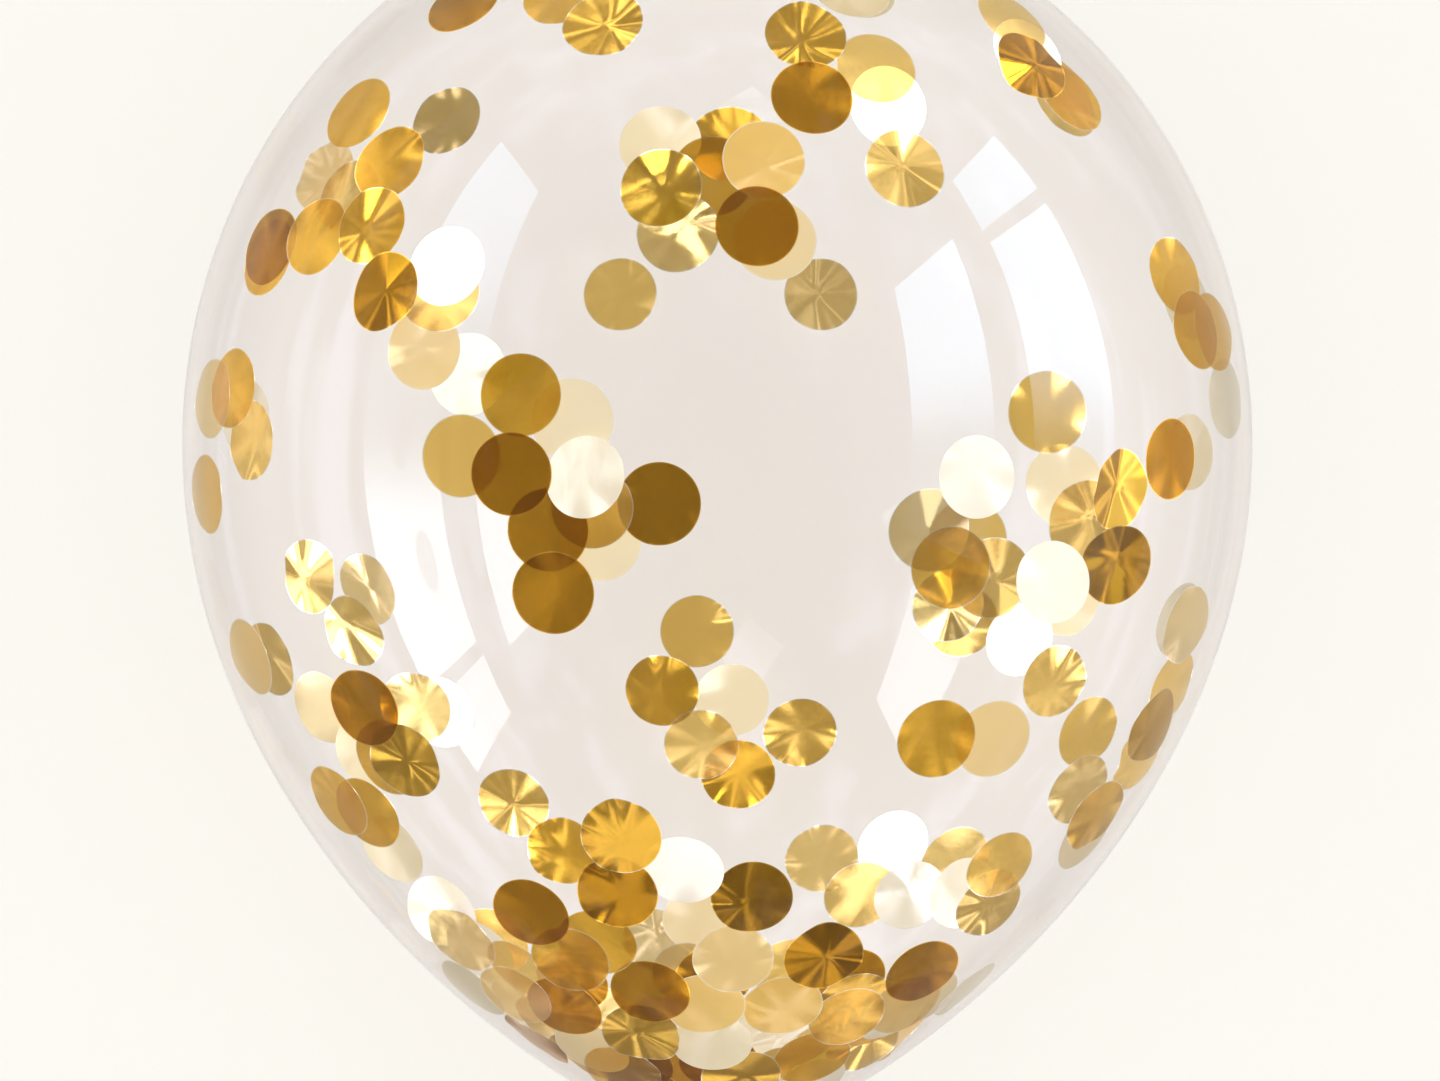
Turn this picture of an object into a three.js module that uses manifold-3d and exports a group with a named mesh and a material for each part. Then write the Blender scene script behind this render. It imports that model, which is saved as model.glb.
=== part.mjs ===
// A clear latex party balloon, blown up, tied at the neck and lying on its side.
// Millimetres, +Z up. The balloon's axis runs along Y: crown towards +Y, knot and tail towards -Y.
// The origin is the middle of the small flat spot that it rests on, under its widest station.
// The skin, its neck, its knot and its tail are one piece of latex, so they are one solid.
import * as THREE from "three";
import { mergeVertices } from "three/addons/utils/BufferGeometryUtils.js";
import Module from "manifold-3d";

// Blown-up body, with lengths measured along the axis from the widest station
const WIDTH = 280;
const CROWN = 148;
const TAPER = 184; // where the taper would close if no neck were there
const TAPER_POWER = 1.5; // 1 would make the taper an ellipse, more makes it a pear
const TAPER_END = THREE.MathUtils.degToRad(64.5); // station where the taper turns into the neck
const FLAT_DEPTH = 2; // how far the resting side is pressed in

// Neck, knot and tail
const NECK_RADIUS = 5.5;
const NECK_FLARE = 0.14; // share of the taper's slope that runs on into the neck
const NECK_LENGTH = 14; // straight pull of the neck before the knot
const KNOT_START = 205;
const KNOT_LENGTH = 10;
const KNOT_TURNS = 1.6;
const KNOT_COIL = 5.2; // radius that the wrapped strand's middle keeps from the axis
const KNOT_FULLNESS = 0.4; // the lower, the sooner the strand reaches that radius
const STRAND_RADIUS = 3.6;
const CORE_RADIUS = 3.8; // latex pulled through the knot
const TAIL_LENGTH = 19;
const LIP_RADIUS = 11.5; // middle of the rolled lip, before the mouth is squeezed flat
const LIP_RUN = 8; // length before the lip where the tail is already nearly as wide
const LIP_BEAD = 1.4;
const BEAD_FROM = THREE.MathUtils.degToRad(70);
const BEAD_TO = THREE.MathUtils.degToRad(-190);
const MOUTH_DEPTH = 7;
const MOUTH_SQUEEZE = 0.55;
const PLEATS = 5;
const PLEAT_DEPTH = 0.09; // share of the tail's radius

// Facets
const ROUND_SIDES = 56;
const CROWN_STEPS = 18;
const TAPER_STEPS = 18;
const NECK_STEPS = 8;
const TAIL_SIDES = 40;
const BEAD_STEPS = 7;
const STRAND_STEPS = 34;
const STRAND_ARC = 5; // half the strand's number of sides

const MAX_RADIUS = WIDTH / 2;
const AXIS_HEIGHT = MAX_RADIUS - FLAT_DEPTH;
const KNOT_END = KNOT_START + KNOT_LENGTH;
const TAIL_END = KNOT_END + TAIL_LENGTH;
const MERGE_DISTANCE = 1e-4;

const wasm = await Module();
wasm.setup();

// A closed geometry as a solid: shared vertices merged, and faces without area at the poles left out.
function solidOf(geometry) {
  const bare = geometry.clone();
  bare.deleteAttribute("normal");
  bare.deleteAttribute("uv");
  const merged = mergeVertices(bare, MERGE_DISTANCE);
  const corners = [];
  for (let i = 0; i < merged.index.count; i += 3) {
    const face = [0, 1, 2].map((k) => merged.index.getX(i + k));
    if (new Set(face).size === 3) corners.push(...face);
  }
  return new wasm.Manifold(
    new wasm.Mesh({
      numProp: 3,
      vertProperties: merged.attributes.position.array,
      triVerts: new Uint32Array(corners),
    }),
  );
}

function geometryOf(solid) {
  const mesh = solid.getMesh();
  const geometry = new THREE.BufferGeometry();
  geometry.setAttribute("position", new THREE.BufferAttribute(mesh.vertProperties, 3));
  geometry.setIndex(new THREE.BufferAttribute(mesh.triVerts, 1));
  geometry.computeVertexNormals();
  return geometry;
}

// The half outline from the crown down to the end of the taper: an ellipse above, a pear below.
function bodyOutline() {
  const points = [];
  for (let i = 0; i <= CROWN_STEPS; i++) {
    const angle = (1 - i / CROWN_STEPS) * (Math.PI / 2);
    points.push(new THREE.Vector2(MAX_RADIUS * Math.cos(angle), CROWN * Math.sin(angle)));
  }
  points[0].x = 0;
  for (let i = 1; i <= TAPER_STEPS; i++) {
    const angle = (i / TAPER_STEPS) * TAPER_END;
    const radius = MAX_RADIUS * Math.cos(angle) ** TAPER_POWER;
    points.push(new THREE.Vector2(radius, -TAPER * Math.sin(angle)));
  }
  return points;
}

// The taper's last point runs on along its own slope and pulls in to the straight neck.
function neckOutline(start) {
  const slope = new THREE.Vector2(
    -TAPER_POWER * MAX_RADIUS * Math.cos(TAPER_END) ** (TAPER_POWER - 1) * Math.sin(TAPER_END),
    -TAPER * Math.cos(TAPER_END),
  );
  const curve = new THREE.CubicBezierCurve(
    start,
    start.clone().addScaledVector(slope, NECK_FLARE),
    new THREE.Vector2(NECK_RADIUS, NECK_LENGTH - KNOT_START),
    new THREE.Vector2(NECK_RADIUS, -KNOT_START),
  );
  return curve.getPoints(NECK_STEPS).slice(1);
}

function makeSkin() {
  const outline = bodyOutline();
  outline.push(...neckOutline(outline.at(-1)));
  outline.push(new THREE.Vector2(CORE_RADIUS, -KNOT_START - STRAND_RADIUS));
  outline.push(new THREE.Vector2(CORE_RADIUS, -KNOT_END));
  outline.push(new THREE.Vector2(0, -KNOT_END));
  return solidOf(new THREE.LatheGeometry(outline.reverse(), ROUND_SIDES));
}

// The knot: a strand of the neck that leaves the axis, wraps round it and goes back in.
class KnotCurve extends THREE.Curve {
  getPoint(t, target = new THREE.Vector3()) {
    const angle = t * KNOT_TURNS * 2 * Math.PI;
    const reach = KNOT_COIL * Math.sin(Math.PI * t) ** KNOT_FULLNESS;
    const along = KNOT_START + KNOT_LENGTH * t;
    return target.set(reach * Math.cos(angle), -along, reach * Math.sin(angle));
  }
}

function makeKnot() {
  const section = new THREE.Shape().absarc(0, 0, STRAND_RADIUS, 0, 2 * Math.PI);
  return solidOf(
    new THREE.ExtrudeGeometry(section, {
      steps: STRAND_STEPS,
      curveSegments: STRAND_ARC,
      extrudePath: new KnotCurve(),
    }),
  );
}

// The half outline of the tail: flared from the knot, round the rolled lip and into the mouth.
function tailOutline() {
  const flare = new THREE.CubicBezierCurve(
    new THREE.Vector2(CORE_RADIUS, STRAND_RADIUS / 2 - KNOT_END),
    new THREE.Vector2(CORE_RADIUS, -KNOT_END - TAIL_LENGTH / 3),
    new THREE.Vector2(LIP_RADIUS - LIP_BEAD, LIP_RUN - TAIL_END),
    new THREE.Vector2(LIP_RADIUS - LIP_BEAD / 2, LIP_BEAD * 2 - TAIL_END),
  );
  const points = [new THREE.Vector2(0, STRAND_RADIUS / 2 - KNOT_END), ...flare.getPoints(NECK_STEPS)];
  for (let i = 0; i <= BEAD_STEPS; i++) {
    const angle = THREE.MathUtils.lerp(BEAD_FROM, BEAD_TO, i / BEAD_STEPS);
    points.push(
      new THREE.Vector2(
        LIP_RADIUS + LIP_BEAD * Math.cos(angle),
        LIP_BEAD - TAIL_END + LIP_BEAD * Math.sin(angle),
      ),
    );
  }
  points.push(new THREE.Vector2(0, MOUTH_DEPTH - TAIL_END));
  return points;
}

// The tail is pleated as it opens out of the knot, and its mouth is squeezed flat.
function makeTail() {
  const tail = new THREE.LatheGeometry(tailOutline().reverse(), TAIL_SIDES);
  const place = tail.getAttribute("position");
  for (let i = 0; i < place.count; i++) {
    const opening = THREE.MathUtils.clamp((-place.getY(i) - KNOT_END) / TAIL_LENGTH, 0, 1);
    const turn = Math.atan2(place.getZ(i), place.getX(i));
    const pleat = 1 + PLEAT_DEPTH * opening * Math.cos(PLEATS * turn);
    const squeeze = THREE.MathUtils.lerp(1, MOUTH_SQUEEZE, opening);
    place.setX(i, place.getX(i) * pleat);
    place.setZ(i, place.getZ(i) * pleat * squeeze);
  }
  return solidOf(tail);
}

// A block that holds everything under the surface that the balloon lies on.
function makeFloorCutter() {
  const block = new THREE.BoxGeometry(WIDTH, WIDTH, WIDTH);
  block.translate(0, 0, -WIDTH / 2 - AXIS_HEIGHT);
  return solidOf(block);
}

const latex = new THREE.MeshStandardMaterial({
  color: 0xf1ece5,
  roughness: 0.08,
  metalness: 0,
  transparent: true,
  opacity: 0.3,
});

const skin = makeSkin().add(makeKnot()).add(makeTail()).subtract(makeFloorCutter());
const balloon = new THREE.Mesh(geometryOf(skin), latex);
balloon.name = "latex_balloon";
balloon.position.z = AXIS_HEIGHT;

const part = new THREE.Group();
part.add(balloon);

export default part;
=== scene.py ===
"""A clear latex balloon lying on its side, with round gold foil confetti sealed inside.

Metres, in the part's own frame: the balloon's axis runs along Y at AXIS_HEIGHT, crown towards +Y,
knot towards -Y, and the floor is at Z = 0. The camera looks straight down on it.
"""
import bisect
import math
import random

import bpy
from mathutils import Matrix, Vector
from mathutils.geometry import interpolate_bezier


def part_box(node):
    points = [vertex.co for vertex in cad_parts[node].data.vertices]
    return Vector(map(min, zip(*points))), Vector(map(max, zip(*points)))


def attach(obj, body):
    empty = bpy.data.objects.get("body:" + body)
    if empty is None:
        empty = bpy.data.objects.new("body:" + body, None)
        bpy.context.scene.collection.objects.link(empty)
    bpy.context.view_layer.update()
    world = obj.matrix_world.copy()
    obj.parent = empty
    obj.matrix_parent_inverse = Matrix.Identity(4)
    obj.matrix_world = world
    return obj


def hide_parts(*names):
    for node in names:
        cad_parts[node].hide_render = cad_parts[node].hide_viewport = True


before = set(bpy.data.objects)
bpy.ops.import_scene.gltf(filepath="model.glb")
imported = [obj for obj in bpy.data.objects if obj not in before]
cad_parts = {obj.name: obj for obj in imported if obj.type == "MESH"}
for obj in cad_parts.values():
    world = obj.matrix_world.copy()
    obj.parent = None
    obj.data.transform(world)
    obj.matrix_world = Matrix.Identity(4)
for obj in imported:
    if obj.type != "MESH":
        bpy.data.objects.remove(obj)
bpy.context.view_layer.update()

MM = 0.001
NODE = "latex_balloon"
BODY = "root"

# Blown-up body: driving sizes from the frame, and the rest as in the solid
node_low, node_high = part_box(NODE)
RADIUS = (node_high.x - node_low.x) / 2
CROWN = node_high.y
AXIS_HEIGHT = node_high.z - RADIUS
TAIL_END = -node_low.y
TAPER = 184 * MM
TAPER_POWER = 1.5
TAPER_END = math.radians(64.5)
NECK_RADIUS = 5.5 * MM
NECK_FLARE = 0.14
NECK_LENGTH = 14 * MM
KNOT_START = 205 * MM
KNOT_LENGTH = 10 * MM
KNOT_END = KNOT_START + KNOT_LENGTH
SKIN = 0.1 * MM

# Knot and tail
KNOT_TURNS = 1.6
KNOT_COIL = 5.2 * MM  # radius that the wrapped strand's middle keeps from the axis
KNOT_FULLNESS = 0.4  # the lower, the sooner the strand reaches that radius
STRAND_RADIUS = 3.6 * MM
CORE_RADIUS = 3.8 * MM
LIP_RADIUS = 11.5 * MM
LIP_BEAD = 1.4 * MM
LIP_RUN = 8 * MM
BEAD_FROM = math.radians(70)
BEAD_TURN = math.radians(260)
MOUTH_DEPTH = 7 * MM
MOUTH_SQUEEZE = 0.55
PLEATS = 5
PLEAT_DEPTH = 0.09

# Facets of the skin's outline (crown, taper and neck), of the knot and of the tail
WALL_STEPS = (120, 120, 40)
SKIN_STEPS = (64, 64, 24)
SKIN_SIDES = 192
POLE_RADIUS = 0.02 * MM
STRAND_STEPS, STRAND_SIDES = 90, 20
FLARE_POINTS = 40
BEAD_STEPS = 15
TAIL_SIDES = 60
VOXEL = 0.35 * MM
SOFTENING, SOFTENING_ROUNDS = 0.5, 4

# Latex: tint of the stretched skin, and the cloudy shades of the knot and tail
CLEAR_LATEX = (0.985, 0.965, 0.957, 1)
MILKY_LATEX = [(0, (0.90, 0.86, 0.79, 1)), (1, (0.97, 0.95, 0.91, 1))]

# Photograph: its frame in pixels, where the balloon shows in it, and how far the camera stood
PHOTO_WIDTH = 1440
PHOTO_HEIGHT = 1081
AXIS_ACROSS = 717.4
WIDEST_DOWN = 445.0
HALF_WIDTH_PIXELS = 535.3
CAMERA_DISTANCE = 2.05
SENSOR_MM = 36
SEARCH_REACH = 1.2  # in radii from the axis, well past the wall
SEARCH_STEPS = 40

# Round of foil: the rim, painted lighter as a painted highlight along the cut edge, starts at a share of the
# radius
DISC_RADIUS = 10.3 * MM
DISC_THICKNESS = 0.05 * MM
DISC_SIDES = 64
DISC_RINGS = 7
EDGE_START = 0.965
EDGE_HIGHLIGHT = 0.5
SEED = 20

# How a round lies: its gap to the wall and to the round under it, with a share of that round's relief.
# Where the wall faces the camera more than SIGHT_STACKING, rounds are stacked along the line of sight.
WALL_GAP = 0.15 * MM
LAYER = 0.25 * MM
RELIEF_SHARE = 0.8
SIGHT_STACKING = 0.4
LEAST_LIFT = 0.3  # share of a move along the stack that always counts as lift
WALL_TRIES, DISC_TRIES = 6, 3
SPOT_SHARES, SPOT_WAYS = (0.5, 1.0), 16
RELIEF_SHARES, RELIEF_WAYS = (0.25, 0.5, 0.75, 1.0), 24

# How a round turns: a share of the way to the camera, up to some degrees, then a tilt in degrees that finds
# a bright card or avoids them all. The margins, in metres, are how far inside a card's edge it is found and
# how far outside it is avoided.
TURN_TO_EYE = 0.25
MAX_TURN = 9
MAX_TILT, TILT_STEP, TILT_WAYS = 16, 2, 16
SMALL_ANGLE = 0.001
WOBBLE = 0.02  # random lean of the face
BRIGHT_GLOW = 2.0  # radiance
GLARE_MARGIN = 0.05
CLEAR_MARGIN = 0.25

NEAR, FAR = "near", "far"
SMOOTH, RIPPLED, FANNED, CRUMPLED, GLINTING = "smooth", "rippled", "fanned", "crumpled", "glinting"

# Shades of foil and the colours that they run through. They are painted reflection: the foil is one gold,
# and a round's shade stands in for how bright it mirrors, from painted shade (dark) to painted glare
# (white).
# Gold rounds on the far wall are painted lighter, a painted veil for the skin's reflections over them.
DARK, TAN, GOLD, LIGHT, CREAM, PALE, WHITE = 0.0, 0.25, 0.4, 0.6, 0.63, 0.8, 1.0
FOIL_COLOURS = [
    (DARK, (0.52, 0.257, 0.011, 1)), (GOLD, (0.98, 0.60, 0.07, 1)), (LIGHT, (1.0, 0.73, 0.24, 1)),
    (PALE, (1.0, 0.90, 0.64, 1)), (WHITE, (1.0, 0.95, 0.82, 1)),
]
# Cream, pale and white rounds take a pale, partly diffuse foil; their paleness is painted glare
PAINTED_GLARE_SHADES = (CREAM, PALE, WHITE)
FAR_PAINTED_VEIL = 0.15
SHADE_SPREAD = 0.08
FOIL_ROUGHNESS = (0.07, 0.17)

# Share of the foil's face that mirrors instead of letting light through
METAL = {SMOOTH: 0.45, RIPPLED: 0.6, FANNED: 0.85, CRUMPLED: 0.95, GLINTING: 0.95}
SHADE_METAL = {DARK: 0.9, TAN: 0.9, GOLD: 1.0, LIGHT: 0.5}
PAINTED_GLARE_METAL = 0.15

# Waves of the foil round its middle: height, the counts of waves to choose from, and how the height grows
# with the radius. Low growth makes sectors from the middle, high growth makes glints at the rim.
SECTORS, RIM_WAVES = (2, 3, 4, 5, 6), (4, 5, 6, 7, 8)
SECTOR_GROWTH, RIM_GROWTH = 1.2, 3
FANS = {
    SMOOTH: (0.3 * MM, RIM_WAVES, RIM_GROWTH),
    RIPPLED: (1.0 * MM, RIM_WAVES, RIM_GROWTH),
    FANNED: (1.4 * MM, SECTORS, SECTOR_GROWTH),
    CRUMPLED: (1.0 * MM, SECTORS, SECTOR_GROWTH),
    GLINTING: (0.8 * MM, SECTORS, SECTOR_GROWTH),
}
WAVES_EACH = 3
WAVE_SHARE = (0.4, 1)
WAVE_OFFSET = 0.35  # how far the waves' middle may be from the round's, in radii
WHITE_CALM = 0.3  # share of the curl and the waves that white rounds keep

# Curl of every round and sharp creases of crumpled and glinting ones, in millimetres
CURL = (0.2, 0.45)
CREASES = 5
CREASE_DEPTH = (0.4, 0.85)
CREASE_OFFSET = 0.5  # how far a crease may be from the round's middle, in radii

# Confetti read from the photograph: pixel across, pixel down, wall, foil shape, shade (painted reflection,
# from painted shade to painted glare).
# On the near wall the first of an overlapping pair lies on top, on the far wall the last does.
CONFETTI = {
    "confetti_upper_left": [
        (382, 291, NEAR, FANNED, DARK), (370, 225, NEAR, FANNED, TAN),
        (389, 162, NEAR, SMOOTH, TAN), (316, 236, NEAR, SMOOTH, GOLD),
        (358, 113, NEAR, SMOOTH, GOLD), (447, 266, NEAR, SMOOTH, WHITE),
        (270, 247, NEAR, SMOOTH, DARK), (257, 253, NEAR, SMOOTH, GOLD),
        (440, 292, NEAR, SMOOTH, GOLD), (446, 120, FAR, RIPPLED, GOLD),
        (324, 176, FAR, RIPPLED, CREAM), (348, 196, FAR, SMOOTH, GOLD),
    ],
    "confetti_left_trail": [
        (422, 348, NEAR, GLINTING, CREAM), (511, 474, NEAR, SMOOTH, DARK),
        (585, 477, NEAR, SMOOTH, WHITE), (520, 395, NEAR, SMOOTH, GOLD),
        (468, 374, NEAR, RIPPLED, WHITE), (461, 456, NEAR, SMOOTH, LIGHT),
        (553, 593, NEAR, SMOOTH, DARK), (548, 530, NEAR, SMOOTH, DARK),
        (592, 507, NEAR, SMOOTH, GOLD), (659, 504, NEAR, RIPPLED, DARK),
        (572, 420, NEAR, SMOOTH, PALE), (600, 540, NEAR, SMOOTH, PALE),
    ],
    "confetti_left_rim": [
        (204, 398, NEAR, SMOOTH, LIGHT), (232, 388, NEAR, SMOOTH, GOLD),
        (222, 440, NEAR, RIPPLED, LIGHT), (199, 495, NEAR, SMOOTH, GOLD),
        (242, 660, NEAR, SMOOTH, CREAM), (245, 418, FAR, RIPPLED, PALE),
        (268, 660, FAR, FANNED, GOLD),
    ],
    "confetti_lower_left": [
        (364, 708, NEAR, SMOOTH, DARK), (404, 762, NEAR, CRUMPLED, GOLD),
        (390, 758, NEAR, SMOOTH, GOLD), (331, 806, NEAR, SMOOTH, GOLD),
        (367, 813, NEAR, SMOOTH, GOLD), (308, 577, FAR, FANNED, GOLD),
        (367, 590, FAR, CRUMPLED, LIGHT), (352, 632, FAR, FANNED, GOLD),
        (322, 708, FAR, SMOOTH, PALE), (366, 755, FAR, SMOOTH, PALE),
        (440, 712, FAR, SMOOTH, WHITE), (415, 708, FAR, RIPPLED, GOLD),
        (392, 850, FAR, SMOOTH, PALE),
    ],
    "confetti_top": [
        (602, 22, NEAR, FANNED, GOLD), (562, -6, NEAR, SMOOTH, GOLD),
        (806, 34, NEAR, FANNED, GOLD), (812, 97, NEAR, SMOOTH, DARK),
        (876, 68, NEAR, SMOOTH, LIGHT), (888, 106, NEAR, SMOOTH, WHITE),
        (906, 167, NEAR, FANNED, LIGHT), (851, -12, NEAR, SMOOTH, PALE),
        (457, -8, NEAR, SMOOTH, DARK),
    ],
    "confetti_upper_middle": [
        (757, 226, NEAR, SMOOTH, DARK), (660, 186, NEAR, CRUMPLED, GOLD),
        (764, 159, NEAR, FANNED, CREAM), (678, 231, NEAR, GLINTING, LIGHT),
        (712, 176, NEAR, SMOOTH, GOLD), (660, 143, NEAR, SMOOTH, PALE),
        (731, 143, NEAR, RIPPLED, GOLD), (775, 240, NEAR, SMOOTH, PALE),
        (620, 294, FAR, RIPPLED, LIGHT), (821, 294, FAR, FANNED, LIGHT),
    ],
    "confetti_upper_right": [
        (1032, 64, NEAR, FANNED, DARK), (1081, 88, NEAR, SMOOTH, GOLD),
        (1020, 10, NEAR, SMOOTH, LIGHT), (1045, 34, NEAR, SMOOTH, WHITE),
        (1085, 62, NEAR, SMOOTH, GOLD), (1066, 104, FAR, SMOOTH, GOLD),
    ],
    "confetti_right_rim": [
        (1205, 328, NEAR, SMOOTH, GOLD), (1222, 330, NEAR, SMOOTH, GOLD),
        (1176, 276, NEAR, SMOOTH, GOLD), (1235, 398, NEAR, SMOOTH, PALE),
        (1187, 302, FAR, SMOOTH, PALE), (1187, 622, FAR, SMOOTH, PALE),
        (1196, 628, NEAR, RIPPLED, CREAM), (1180, 690, FAR, SMOOTH, GOLD),
        (1162, 730, NEAR, FANNED, GOLD), (1148, 762, FAR, RIPPLED, LIGHT),
        (1105, 822, NEAR, RIPPLED, GOLD), (1092, 842, FAR, SMOOTH, PALE),
    ],
    "confetti_right_middle": [
        (977, 477, NEAR, RIPPLED, WHITE), (951, 568, NEAR, SMOOTH, GOLD),
        (1053, 582, NEAR, SMOOTH, WHITE), (1119, 566, NEAR, CRUMPLED, DARK),
        (992, 578, NEAR, FANNED, LIGHT), (930, 530, NEAR, FANNED, LIGHT),
        (968, 541, NEAR, SMOOTH, LIGHT), (1171, 459, NEAR, SMOOTH, DARK),
        (1122, 490, NEAR, FANNED, TAN), (1048, 412, NEAR, RIPPLED, LIGHT),
        (1085, 520, NEAR, FANNED, LIGHT), (1065, 485, NEAR, RIPPLED, PALE),
        (1190, 452, FAR, SMOOTH, PALE), (962, 622, FAR, RIPPLED, GOLD),
        (948, 606, FAR, FANNED, GOLD), (1070, 600, FAR, SMOOTH, PALE),
        (1020, 640, FAR, FANNED, WHITE), (1055, 682, FAR, RIPPLED, GOLD),
    ],
    "confetti_centre": [
        (732, 700, FAR, SMOOTH, PALE), (697, 632, FAR, RIPPLED, LIGHT),
        (662, 691, FAR, RIPPLED, TAN), (738, 775, FAR, RIPPLED, TAN),
        (701, 745, FAR, RIPPLED, LIGHT), (800, 733, FAR, RIPPLED, GOLD),
    ],
    "confetti_lower_right": [
        (937, 739, NEAR, SMOOTH, GOLD), (993, 739, NEAR, SMOOTH, CREAM),
        (1088, 732, FAR, SMOOTH, GOLD), (1080, 790, FAR, RIPPLED, GOLD),
        (955, 860, FAR, SMOOTH, GOLD), (965, 895, FAR, CRUMPLED, WHITE),
        (990, 905, FAR, GLINTING, GOLD), (1000, 865, FAR, SMOOTH, GOLD),
    ],
    "confetti_bottom": [
        (621, 837, NEAR, RIPPLED, TAN), (617, 894, NEAR, RIPPLED, DARK),
        (683, 870, NEAR, SMOOTH, WHITE), (531, 913, NEAR, SMOOTH, DARK),
        (570, 960, NEAR, SMOOTH, GOLD), (597, 943, NEAR, SMOOTH, GOLD),
        (752, 899, NEAR, FANNED, DARK), (733, 960, NEAR, RIPPLED, CREAM),
        (824, 958, NEAR, FANNED, DARK), (650, 992, NEAR, SMOOTH, DARK),
        (705, 1005, NEAR, SMOOTH, CREAM), (783, 1007, NEAR, RIPPLED, CREAM),
        (847, 1017, NEAR, SMOOTH, GOLD), (922, 972, NEAR, SMOOTH, DARK),
        (905, 1005, NEAR, SMOOTH, LIGHT), (640, 1037, NEAR, FANNED, GOLD),
        (712, 1043, NEAR, SMOOTH, PALE), (741, 1078, NEAR, FANNED, GOLD),
        (622, 1072, NEAR, RIPPLED, LIGHT), (585, 1062, NEAR, SMOOTH, PALE),
        (812, 1058, NEAR, SMOOTH, GOLD), (513, 803, FAR, FANNED, GOLD),
        (562, 852, FAR, RIPPLED, TAN), (822, 859, FAR, RIPPLED, LIGHT),
        (893, 845, FAR, SMOOTH, WHITE), (861, 895, FAR, SMOOTH, GOLD),
        (910, 895, FAR, FANNED, WHITE), (660, 942, FAR, FANNED, LIGHT),
        (700, 920, FAR, SMOOTH, PALE), (790, 970, FAR, RIPPLED, LIGHT),
        (690, 975, FAR, GLINTING, LIGHT), (775, 1040, FAR, FANNED, PALE),
        (440, 912, FAR, CRUMPLED, WHITE), (480, 950, FAR, SMOOTH, WHITE),
        (495, 940, FAR, SMOOTH, GOLD), (460, 940, NEAR, RIPPLED, LIGHT),
        (515, 995, NEAR, SMOOTH, LIGHT), (525, 1005, FAR, FANNED, WHITE),
        (560, 1010, FAR, GLINTING, LIGHT), (600, 1015, FAR, GLINTING, LIGHT),
    ],
}

# Glowing cards that the balloon and its foil mirror, standing at the sides like windows: side (+1 right),
# reach along Y, reach along Z, radiance, and the stations along Y where it is faded and where it is full
WINDOW_DISTANCE = 1.5
FADED = 0.12  # share of the radiance that is left where it is faded
EVEN_GLOW = (-3.0, -2.0)  # a fade that ends before the card's first edge
CARD_STEPS = 40
NEARLY_PARALLEL = 1e-9
WINDOWS = {
    "window_right_upper": (1, (1.09, 1.52), (0.14, 0.78), 7.5, (0.6, 1.2)),
    "window_right_low": (1, (-0.60, 1.00), (0.16, 0.76), 9.0, (-0.1, 0.4)),
    "window_right_high": (1, (-0.60, 1.18), (1.07, 1.92), 10.0, (-0.1, 0.5)),
    "window_left": (-1, (0.40, 1.90), (0.68, 1.42), 7.0, (0.3, 1.3)),
}

# Small soft boxes that only the foil mirrors. Each stands where the near wall would mirror it at a pixel
# on or beside bright foil: pixel across, pixel down
SOFTBOXES = {
    "softbox_left": (504, 360),
    "softbox_neck": (683, 870),
    "softbox_crown": (678, 231),
}
SOFTBOX_DISTANCE = 2.5
SOFTBOX_WIDTH = 0.45
SOFTBOX_RADIANCE = 3.0

# Confetti beyond the photograph's lower edge, heaped towards the neck: station along Y, rounds in that ring
NECK_HEAP = [(-146 * MM, 11), (-157 * MM, 9), (-168 * MM, 6), (-177 * MM, 4)]
HEAP_TURN_SPREAD = 0.3  # in steps between neighbours
HEAP_SPREAD = 4  # millimetres along Y
FOLDS = (SMOOTH, SMOOTH, RIPPLED, FANNED)
# Heap shades are drawn at random from these levels of painted reflection
SHADES = (DARK, GOLD, GOLD, PALE)

# Confetti beyond its upper edge: millimetres along Y, degrees about the axis from +X, foil shape, shade
# (painted reflection)
CROWN_STRAYS = [
    (126, 20, SMOOTH, GOLD), (134, 75, RIPPLED, GOLD), (129, 160, SMOOTH, DARK),
    (137, 230, FANNED, GOLD), (124, 300, SMOOTH, PALE), (141, 330, SMOOTH, GOLD),
]

# Studio: floor, colours of the cards' glow, and light. The sky is dimmer where it lights matt faces.
FLOOR_SIZE = 60
FLOOR_HEIGHT = -0.5 * MM
FLOOR_COLOUR = (0.965, 0.965, 0.965, 1)
FLOOR_ROUGHNESS = 0.9
SKIN_GLOW = (0.5, 0.73, 1.02, 1)
INSIDE_GLOW = (1.05, 1.2, 1.4, 1)
NO_GLOW = (0, 0, 0, 1)
STUDIO_COLOUR = (1.0, 0.975, 0.915, 1)
SKY_SHARE = 0.13
LAMP_STRENGTH = 2.8
LAMP_ANGLE = math.radians(80)

# Room that only mirrors show: its level from straight below (0) to straight overhead (1), its level towards
# the neck's side, and what is inside the skin mirrors it a little brighter
ROOM_LEVELS = [
    (0, 0.95), (0.04, 0.85), (0.1, 0.5), (0.2, 0.42), (0.36, 0.4),
    (0.5, 0.38), (0.75, 0.33), (0.88, 0.27), (1, 0.21),
]
NECK_SIDE = (-0.2, -0.8)
NECK_SIDE_LEVEL = 0.6
INSIDE_LEVEL = 1.15
SKIN_CROSSINGS = 3  # faces of the skin that light passes, past which it comes from inside

# Streaks of light in that room, drawn out along Y. There are none straight below, they fade overhead,
# and on the skin they are weak.
STREAK_STRETCH = (5.5, 0.9, 5.5)
STREAK_DETAIL = 3
STREAK_NOISE = (0.47, 0.66)
STREAK_DIM = (1.0, 0.96, 0.9, 1)
STREAK_BRIGHT = (6.0, 6.3, 9.0, 1)
STREAK_RISE = (-0.75, -0.1)
OVERHEAD = (0.75, 0.9)
OVERHEAD_STREAKS = 0.15
SKIN_STREAKS = 0.2


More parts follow.
